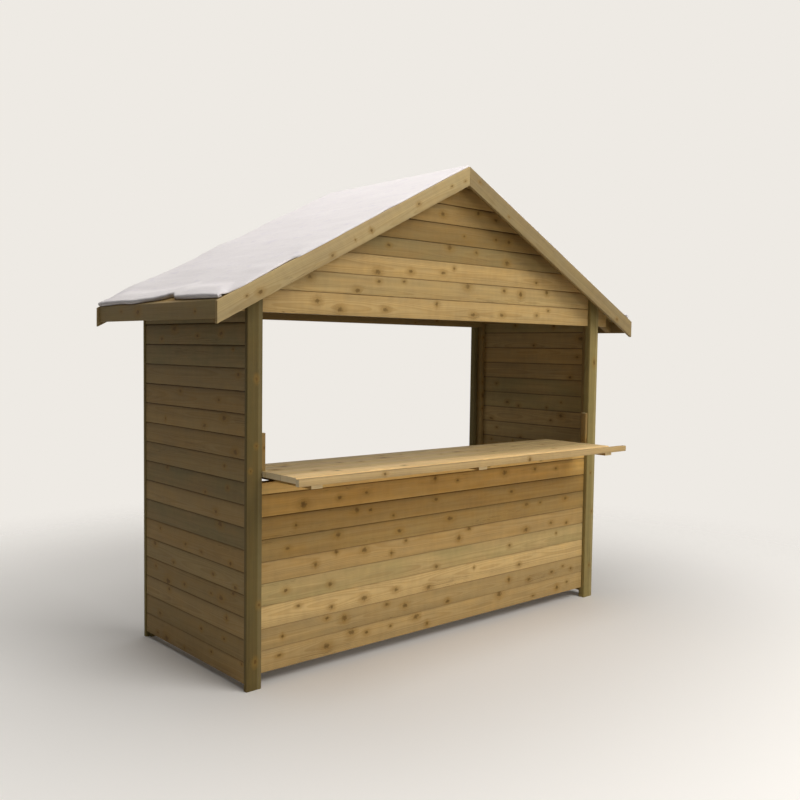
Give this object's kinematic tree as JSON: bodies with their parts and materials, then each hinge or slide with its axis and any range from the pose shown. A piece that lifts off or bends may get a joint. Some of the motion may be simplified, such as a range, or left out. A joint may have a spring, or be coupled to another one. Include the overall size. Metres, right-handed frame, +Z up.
{
  "type": "wooden market hut",
  "caption": "Boarded softwood market stall with a serving counter, an open back and a gabled roof under a laid white fleece.",
  "frame": {"origin": "on the floor, under the middle of the outline that the counter and the roof make", "axes": "+X along the counter, to the right as seen by a customer; +Y from the counter to the open back; +Z up"},
  "size_m": [3.34, 1.595, 2.8357],
  "materials": {
    "post_timber": "matt",
    "cladding": "matt",
    "frame_timber": "matt",
    "counter_planks": "satin",
    "trim_boards": "matt",
    "roof_boards": "matt",
    "fleece": "matt"
  },
  "bodies": {
    "root": {"front_left_post": "post_timber", "front_right_post": "post_timber", "rear_left_post": "post_timber", "rear_right_post": "post_timber", "front_panel_boards": "cladding", "left_wall_boards": "cladding", "right_wall_boards": "cladding", "front_gable_boards": "cladding", "rear_gable_boards": "cladding", "front_panel_top_rail": "frame_timber", "front_panel_bottom_rail": "frame_timber", "front_panel_studs": "frame_timber", "counter_cleat_left": "frame_timber", "counter_cleat_middle": "frame_timber", "counter_cleat_right": "frame_timber", "counter_stop_left": "frame_timber", "counter_stop_right": "frame_timber", "left_wall_top_rail": "frame_timber", "left_wall_bottom_rail": "frame_timber", "left_wall_battens": "frame_timber", "right_wall_top_rail": "frame_timber", "right_wall_bottom_rail": "frame_timber", "right_wall_battens": "frame_timber", "front_tie": "frame_timber", "rear_tie": "frame_timber", "front_rafters": "frame_timber", "middle_rafters": "frame_timber", "rear_rafters": "frame_timber", "ridge_board": "frame_timber", "counter_top": "counter_planks", "counter_front_edge": "counter_planks", "left_fascia": "trim_boards", "right_fascia": "trim_boards", "front_left_barge": "trim_boards", "front_right_barge": "trim_boards", "rear_left_barge": "trim_boards", "rear_right_barge": "trim_boards", "left_roof_boards": "roof_boards", "right_roof_boards": "roof_boards", "left_fleece": "fleece", "right_fleece": "fleece"}
  },
  "joints": []
}
